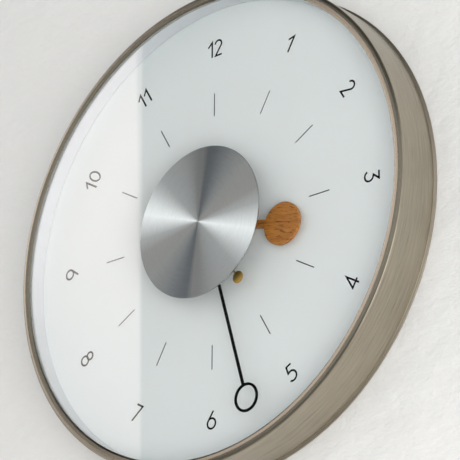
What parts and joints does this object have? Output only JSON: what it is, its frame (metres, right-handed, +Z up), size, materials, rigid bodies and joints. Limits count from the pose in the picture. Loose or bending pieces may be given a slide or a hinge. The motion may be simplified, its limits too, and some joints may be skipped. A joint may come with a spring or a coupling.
{
  "type": "wall clock",
  "caption": "Round brushed-metal wall clock: white dial under flat glass, lollipop hands, a spun disc bonded on the glass, quartz movement and keyhole hanger behind.",
  "frame": {"origin": "point where the axis of the hands meets the wall plane behind the clock", "axes": "+Z up, +Y into the wall (the dial faces -Y), +X to the right seen from the front"},
  "size_m": [0.35, 0.0352, 0.35],
  "materials": {
    "case_metal": "brushed round the drum, polished lip",
    "disc_metal": "spun brushed",
    "lens_glass": "clear float glass",
    "rehaut_white": "satin",
    "dial_white": "matt printed",
    "black_plastic": "matt",
    "grey_plastic": "matt",
    "white_plastic": "satin",
    "hand_black": "matt black",
    "hand_wood": "oiled, fine grain",
    "brass": "turned",
    "hand_gold": "satin gold",
    "zinc": "zinc plated",
    "rubber": "matt",
    "copper": "enamelled wire",
    "ferrite": "sintered",
    "board": "lacquered",
    "cell_jacket": "printed jacket"
  },
  "bodies": {
    "clock": {"case_drum": "case_metal", "lens": "lens_glass", "lens_gasket": "white_plastic", "rehaut_ring": "rehaut_white", "dial_plate": "dial_white", "support_ring": "black_plastic", "disc_pad": "white_plastic", "centre_disc": "disc_metal", "back_plate": "black_plastic", "hanger_plate": "zinc", "wall_bumper_left": "rubber", "wall_bumper_right": "rubber", "bush_nut": "brass", "brass_washer": "brass", "rubber_washer": "rubber", "movement_front_shell": "grey_plastic", "movement_back_shell": "grey_plastic", "middle_plate": "white_plastic", "stator_plate": "zinc", "coil_core": "zinc", "coil_bobbin": "white_plastic", "coil_winding": "copper", "circuit_board": "board", "quartz_crystal": "zinc", "cell_aa": "cell_jacket", "contact_plus": "zinc", "contact_minus": "zinc", "case_bracket_1": "zinc", "back_screw_1": "zinc", "case_bracket_2": "zinc", "back_screw_2": "zinc", "case_bracket_3": "zinc", "back_screw_3": "zinc", "case_bracket_4": "zinc", "back_screw_4": "zinc", "hanger_screw_1": "zinc", "hanger_screw_2": "zinc"},
    "minute_train": {"minute_hand": "hand_black", "minute_collet": "brass", "cannon_pinion": "brass"},
    "hour_train": {"hour_hand": "hand_wood", "hour_collet": "brass", "hour_wheel": "white_plastic"},
    "second_train": {"second_hand": "hand_gold", "second_collet": "brass", "second_wheel": "brass"},
    "third": {"third_wheel": "white_plastic"},
    "centre": {"centre_wheel": "white_plastic"},
    "intermediate": {"intermediate_wheel": "white_plastic"},
    "rotor_body": {"rotor": "ferrite"},
    "reverse": {"reverse_wheel": "white_plastic"},
    "knob": {"setting_knob": "black_plastic"}
  },
  "joints": [
    {"name": "minute_spin", "type": "hinge", "parent": "clock", "child": "minute_train", "pos_m": [0, 0, 0], "axis": [0, 1, 0], "continuous": true},
    {"name": "hour_spin", "type": "hinge", "parent": "clock", "child": "hour_train", "pos_m": [0, 0, 0], "axis": [0, 1, 0], "continuous": true},
    {"name": "second_spin", "type": "hinge", "parent": "clock", "child": "second_train", "pos_m": [0, 0, 0], "axis": [0, 1, 0], "continuous": true},
    {"name": "third_spin", "type": "hinge", "parent": "clock", "child": "third", "pos_m": [-0.00972, 0, 0.00561], "axis": [0, 1, 0], "continuous": true},
    {"name": "centre_spin", "type": "hinge", "parent": "clock", "child": "centre", "pos_m": [0, 0, 0], "axis": [0, 1, 0], "continuous": true},
    {"name": "intermediate_spin", "type": "hinge", "parent": "clock", "child": "intermediate", "pos_m": [0.00306, 0, 0.00842], "axis": [0, 1, 0], "continuous": true},
    {"name": "rotor_spin", "type": "hinge", "parent": "clock", "child": "rotor_body", "pos_m": [0.00983, 0, 0.01088], "axis": [0, 1, 0], "continuous": true},
    {"name": "reverse_spin", "type": "hinge", "parent": "clock", "child": "reverse", "pos_m": [0.00869, 0, -0.00233], "axis": [0, 1, 0], "continuous": true},
    {"name": "knob_spin", "type": "hinge", "parent": "clock", "child": "knob", "pos_m": [0.01739, 0, 0], "axis": [0, 1, 0], "continuous": true}
  ],
  "couplings": [
    {"joint": "hour_spin", "follows": "minute_spin", "ratio": 0.083333},
    {"joint": "reverse_spin", "follows": "minute_spin", "ratio": -0.33333},
    {"joint": "knob_spin", "follows": "minute_spin", "ratio": 1},
    {"joint": "third_spin", "follows": "second_spin", "ratio": -0.13333},
    {"joint": "centre_spin", "follows": "second_spin", "ratio": 0.016667},
    {"joint": "intermediate_spin", "follows": "second_spin", "ratio": -6},
    {"joint": "rotor_spin", "follows": "second_spin", "ratio": 30}
  ]
}
